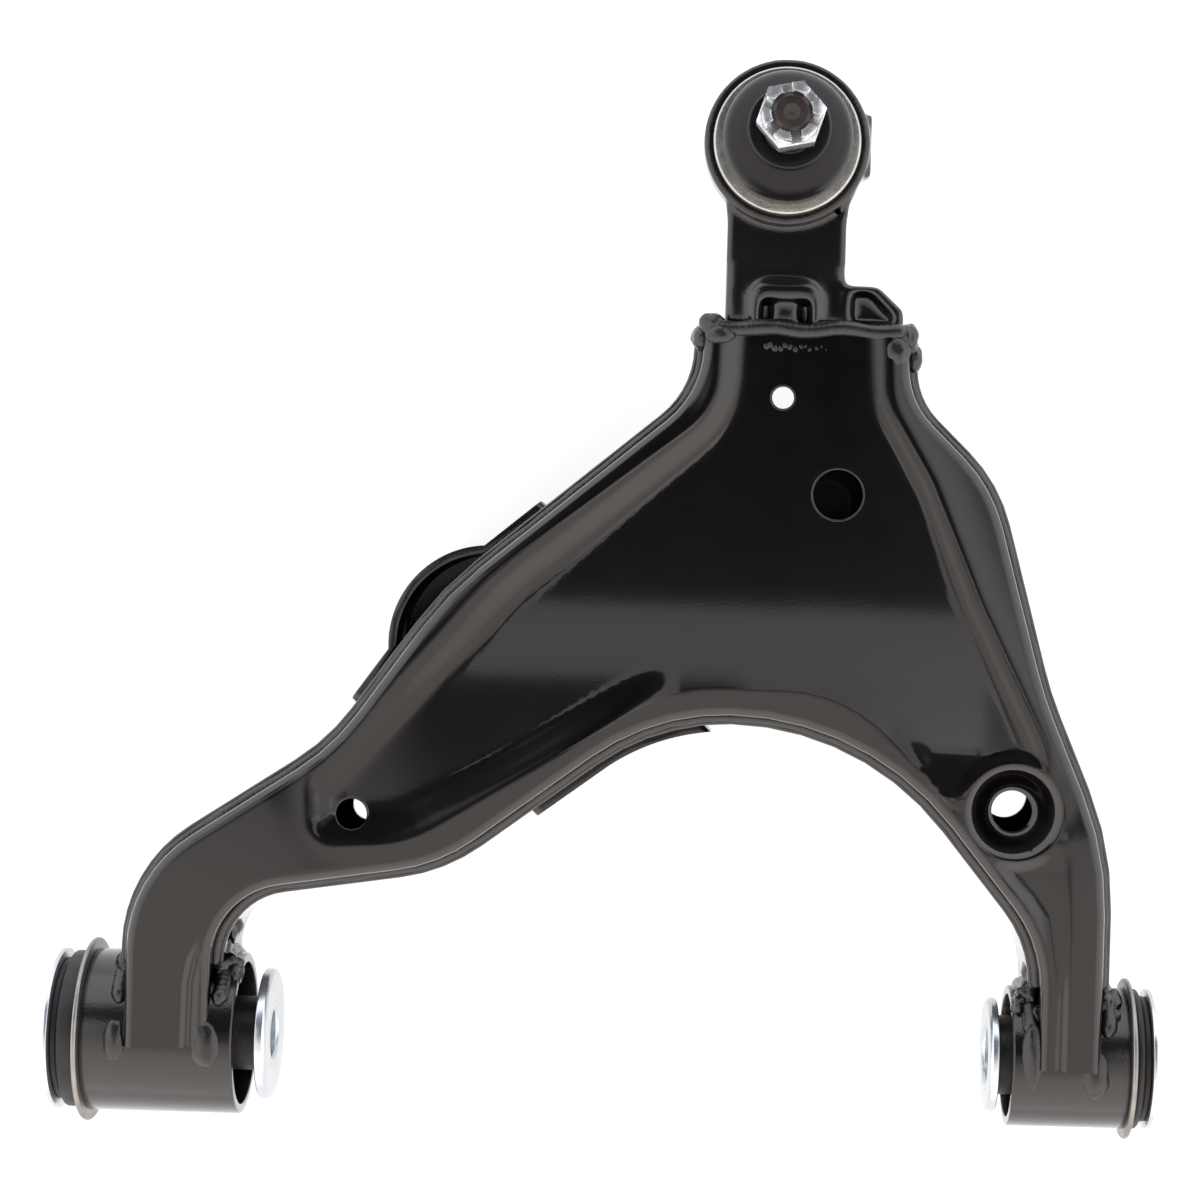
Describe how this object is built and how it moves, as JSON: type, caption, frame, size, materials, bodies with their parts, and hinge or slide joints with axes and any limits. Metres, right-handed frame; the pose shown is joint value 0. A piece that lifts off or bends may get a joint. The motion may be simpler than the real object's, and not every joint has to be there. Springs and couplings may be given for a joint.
{
  "type": "control arm",
  "caption": "Pressed-steel lower control arm with two pivot bushes, a ball joint with a castle-nutted stud and a bolt bracket for a shock absorber.",
  "frame": {"origin": "on the pivot axis through both bushes, inside the large bush, 2.5 mm from the middle of its inner sleeve towards its flange", "axes": "+X along the pivot axis from the large bush to the small bush, +Y from the pivot axis towards the ball joint, +Z the side the ball stud points to"},
  "size_m": [0.4566, 0.4483, 0.171],
  "materials": {
    "black_paint": "glossy black coat over pressed and forged steel",
    "zinc_plate": "zinc plated, semi-bright",
    "bush_rubber": "satin moulded rubber",
    "boot_rubber": "satin moulded rubber, dark purple grey",
    "ring_steel": "dark spring steel",
    "stud_steel": "machined steel, light zinc",
    "seat_polymer": "acetal bearing polymer"
  },
  "bodies": {
    "arm": {"near_shell": "black_paint", "far_shell": "black_paint", "seam_weld": "black_paint", "ball_joint_forging": "black_paint", "forging_weld": "black_paint", "large_bush_tube": "black_paint", "small_bush_tube": "black_paint", "large_tube_weld": "black_paint", "small_tube_weld": "black_paint", "shock_bracket_outer_plate": "black_paint", "shock_bracket_inner_plate": "black_paint", "shock_bracket_web": "black_paint", "shock_spacer_outer": "black_paint", "shock_spacer_inner": "black_paint", "shock_weld_nut": "black_paint", "large_bush_outer_shell": "zinc_plate", "small_bush_outer_shell": "zinc_plate", "large_bush_rubber": "bush_rubber", "small_bush_rubber": "bush_rubber", "ball_joint_housing": "zinc_plate", "bearing_seat": "seat_polymer", "bottom_cover": "zinc_plate", "retaining_ring": "ring_steel", "dust_boot": "boot_rubber", "boot_base_ring": "ring_steel"},
    "large_sleeve": {"large_inner_sleeve": "zinc_plate", "large_outer_washer": "zinc_plate", "large_inner_washer": "zinc_plate"},
    "small_sleeve": {"small_inner_sleeve": "zinc_plate", "small_outer_washer": "zinc_plate", "small_inner_washer": "zinc_plate"},
    "cup": {"pressure_cup": "seat_polymer"},
    "collar": {"boot_top_ring": "ring_steel"},
    "stud": {"ball_stud": "stud_steel", "castle_nut": "zinc_plate"}
  },
  "joints": [
    {"name": "large_bush_twist", "type": "hinge", "parent": "arm", "child": "large_sleeve", "pos_m": [0, 0, 0], "axis": [1, 0, 0], "range_deg": [-25, 25], "stiffness_Nm_per_rad": 80},
    {"name": "small_bush_twist", "type": "hinge", "parent": "arm", "child": "small_sleeve", "pos_m": [0.381, 0, 0], "axis": [1, 0, 0], "range_deg": [-25, 25], "stiffness_Nm_per_rad": 60},
    {"name": "ball_swing", "type": "hinge", "parent": "arm", "child": "cup", "pos_m": [0.251, 0.3755, 0.012], "axis": [1, 0, 0], "range_deg": [-20, 20], "deforming": ["dust_boot"]},
    {"name": "ball_rock", "type": "hinge", "parent": "cup", "child": "collar", "pos_m": [0.251, 0.3755, 0.012], "axis": [0, 1, 0], "range_deg": [-12, 12]},
    {"name": "stud_spin", "type": "hinge", "parent": "collar", "child": "stud", "pos_m": [0.251, 0.3755, 0.012], "axis": [0, 0, 1], "continuous": true}
  ]
}
